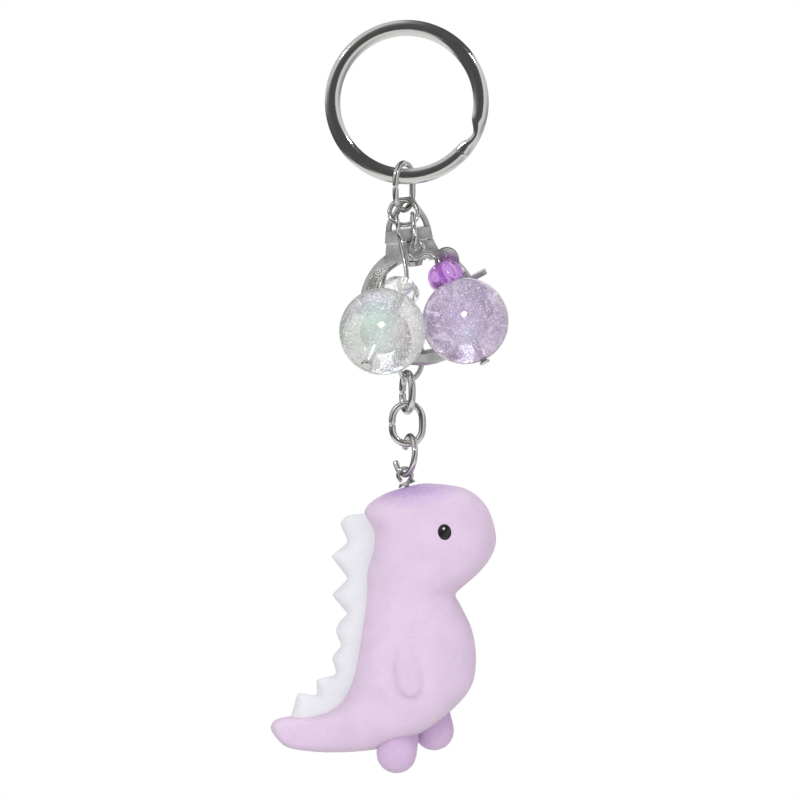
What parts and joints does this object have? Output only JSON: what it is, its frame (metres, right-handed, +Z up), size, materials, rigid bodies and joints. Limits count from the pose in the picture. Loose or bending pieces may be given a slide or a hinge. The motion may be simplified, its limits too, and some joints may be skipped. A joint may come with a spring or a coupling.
{
  "type": "charm keyring",
  "caption": "Charm keyring hanging at rest: split ring, trigger clasp, glitter bead drops and a short chain that carries a small flocked dinosaur with a white crest.",
  "frame": {"origin": "inside top of the split ring, where it hangs", "axes": "+Z up along the hanging keyring, +X the way the dinosaur faces, -Y the front with the bead drops"},
  "size_m": [0.0442, 0.0358, 0.1398],
  "materials": {
    "nickel_plate": "polished nickel plate",
    "clear_acrylic": "clear, iridescent, with fine glitter",
    "milky_acrylic": "milky inner bead",
    "violet_acrylic": "lavender, translucent, with fine glitter",
    "purple_acrylic": "clear purple, glossy",
    "lilac_flock": "short flocking",
    "deep_lilac_flock": "short flocking, a little deeper",
    "white_flock": "short white flocking",
    "black_gloss": "glossy black paint"
  },
  "bodies": {
    "ring": {"split_ring": "nickel_plate"},
    "top_link": {"top_link": "nickel_plate"},
    "jump_ring": {"jump_ring": "nickel_plate"},
    "clear_pin": {"clear_pin": "nickel_plate"},
    "clear_small": {"clear_small_bead": "clear_acrylic"},
    "clear_large": {"clear_bead_shell": "clear_acrylic", "clear_bead_core": "milky_acrylic"},
    "violet_link": {"violet_link": "nickel_plate"},
    "violet_pin": {"violet_pin": "nickel_plate"},
    "violet_small": {"violet_small_bead": "purple_acrylic"},
    "violet_large": {"violet_bead_shell": "violet_acrylic", "violet_bead_core": "milky_acrylic"},
    "clasp_eye": {"clasp_eye": "nickel_plate"},
    "clasp": {"clasp_body": "nickel_plate", "clasp_pivot_pin": "nickel_plate", "clasp_spring": "nickel_plate"},
    "lever": {"clasp_lever": "nickel_plate"},
    "chain_ring": {"chain_ring": "nickel_plate"},
    "upper_link": {"chain_link_upper": "nickel_plate"},
    "lower_link": {"chain_link_lower": "nickel_plate"},
    "open_ring": {"open_jump_ring": "nickel_plate"},
    "dino": {"screw_eye": "nickel_plate", "screw_eye_washer": "nickel_plate", "dino_body": "lilac_flock", "dino_crest": "white_flock", "dino_foot_right": "deep_lilac_flock", "dino_foot_left": "deep_lilac_flock", "dino_arm_right": "lilac_flock", "dino_arm_left": "lilac_flock", "dino_eye_right": "black_gloss", "dino_eye_left": "black_gloss"}
  },
  "joints": [
    {"name": "top_link_swing", "type": "hinge", "parent": "ring", "child": "top_link", "pos_m": [-0.0005, 0, -0.02612], "axis": [1, 0, 0], "range_deg": [-30, 30]},
    {"name": "jump_ring_swing", "type": "hinge", "parent": "top_link", "child": "jump_ring", "pos_m": [-0.00151, -0.00113, -0.03182], "axis": [0.5456, 0.836, 0.0585], "range_deg": [-10, 10]},
    {"name": "clear_pin_swing", "type": "hinge", "parent": "jump_ring", "child": "clear_pin", "pos_m": [-0.00162, -0.00233, -0.03506], "axis": [1, 0, 0], "range_deg": [-45, 0]},
    {"name": "clear_small_spin", "type": "hinge", "parent": "clear_pin", "child": "clear_small", "pos_m": [-0.00108, -0.00745, -0.04777], "axis": [0.3401, 0.5801, 0.7401], "continuous": true},
    {"name": "clear_large_spin", "type": "hinge", "parent": "clear_pin", "child": "clear_large", "pos_m": [-0.00445, -0.0132, -0.0551], "axis": [0.3401, 0.5801, 0.7401], "continuous": true},
    {"name": "violet_link_swing", "type": "hinge", "parent": "jump_ring", "child": "violet_link", "pos_m": [0.00116, -0.00216, -0.03469], "axis": [1, 0, 0], "range_deg": [-45, 0]},
    {"name": "violet_pin_swing", "type": "hinge", "parent": "violet_link", "child": "violet_pin", "pos_m": [0.00165, -0.00389, -0.03959], "axis": [1, 0, 0], "range_deg": [-35, 0]},
    {"name": "violet_small_spin", "type": "hinge", "parent": "violet_pin", "child": "violet_small", "pos_m": [0.00657, -0.00711, -0.04416], "axis": [-0.4208, 0.1002, 0.9016], "continuous": true},
    {"name": "violet_large_spin", "type": "hinge", "parent": "violet_pin", "child": "violet_large", "pos_m": [0.01074, -0.0081, -0.0531], "axis": [-0.4208, 0.1002, 0.9016], "continuous": true},
    {"name": "clasp_swing", "type": "hinge", "parent": "top_link", "child": "clasp_eye", "pos_m": [0.00051, 0.00196, -0.0316], "axis": [1, 0, 0], "range_deg": [0, 18]},
    {"name": "clasp_swivel", "type": "hinge", "parent": "clasp_eye", "child": "clasp", "pos_m": [0.00109, 0.00214, -0.03928], "axis": [-0.1305, -0.1208, 0.9841], "range_deg": [-5, 35]},
    {"name": "lever_press", "type": "hinge", "parent": "clasp", "child": "lever", "pos_m": [0.00747, 0.00242, -0.04152], "axis": [0, 0.9925, 0.1219], "range_deg": [0, 22], "stiffness_Nm_per_rad": 0.05, "springref_deg": -8.59},
    {"name": "chain_ring_swing", "type": "hinge", "parent": "clasp", "child": "chain_ring", "pos_m": [0.00112, 0.00464, -0.05964], "axis": [1, 0, 0], "range_deg": [-30, 30]},
    {"name": "upper_link_swing", "type": "hinge", "parent": "chain_ring", "child": "upper_link", "pos_m": [0.00012, 0.0043, -0.06385], "axis": [0.623, 0.7722, -0.1246], "range_deg": [-30, 30]},
    {"name": "lower_link_swing", "type": "hinge", "parent": "upper_link", "child": "lower_link", "pos_m": [0.00012, 0.0043, -0.06976], "axis": [-0.309, 0.9511, 0], "range_deg": [-30, 30]},
    {"name": "open_ring_swing", "type": "hinge", "parent": "lower_link", "child": "open_ring", "pos_m": [0.00012, 0.0043, -0.07582], "axis": [1, 0, 0], "range_deg": [-30, 30]},
    {"name": "charm_swing", "type": "hinge", "parent": "open_ring", "child": "dino", "pos_m": [-0.00035, 0.00411, -0.08156], "axis": [-0.3746, 0.9272, 0], "range_deg": [-30, 30]}
  ]
}
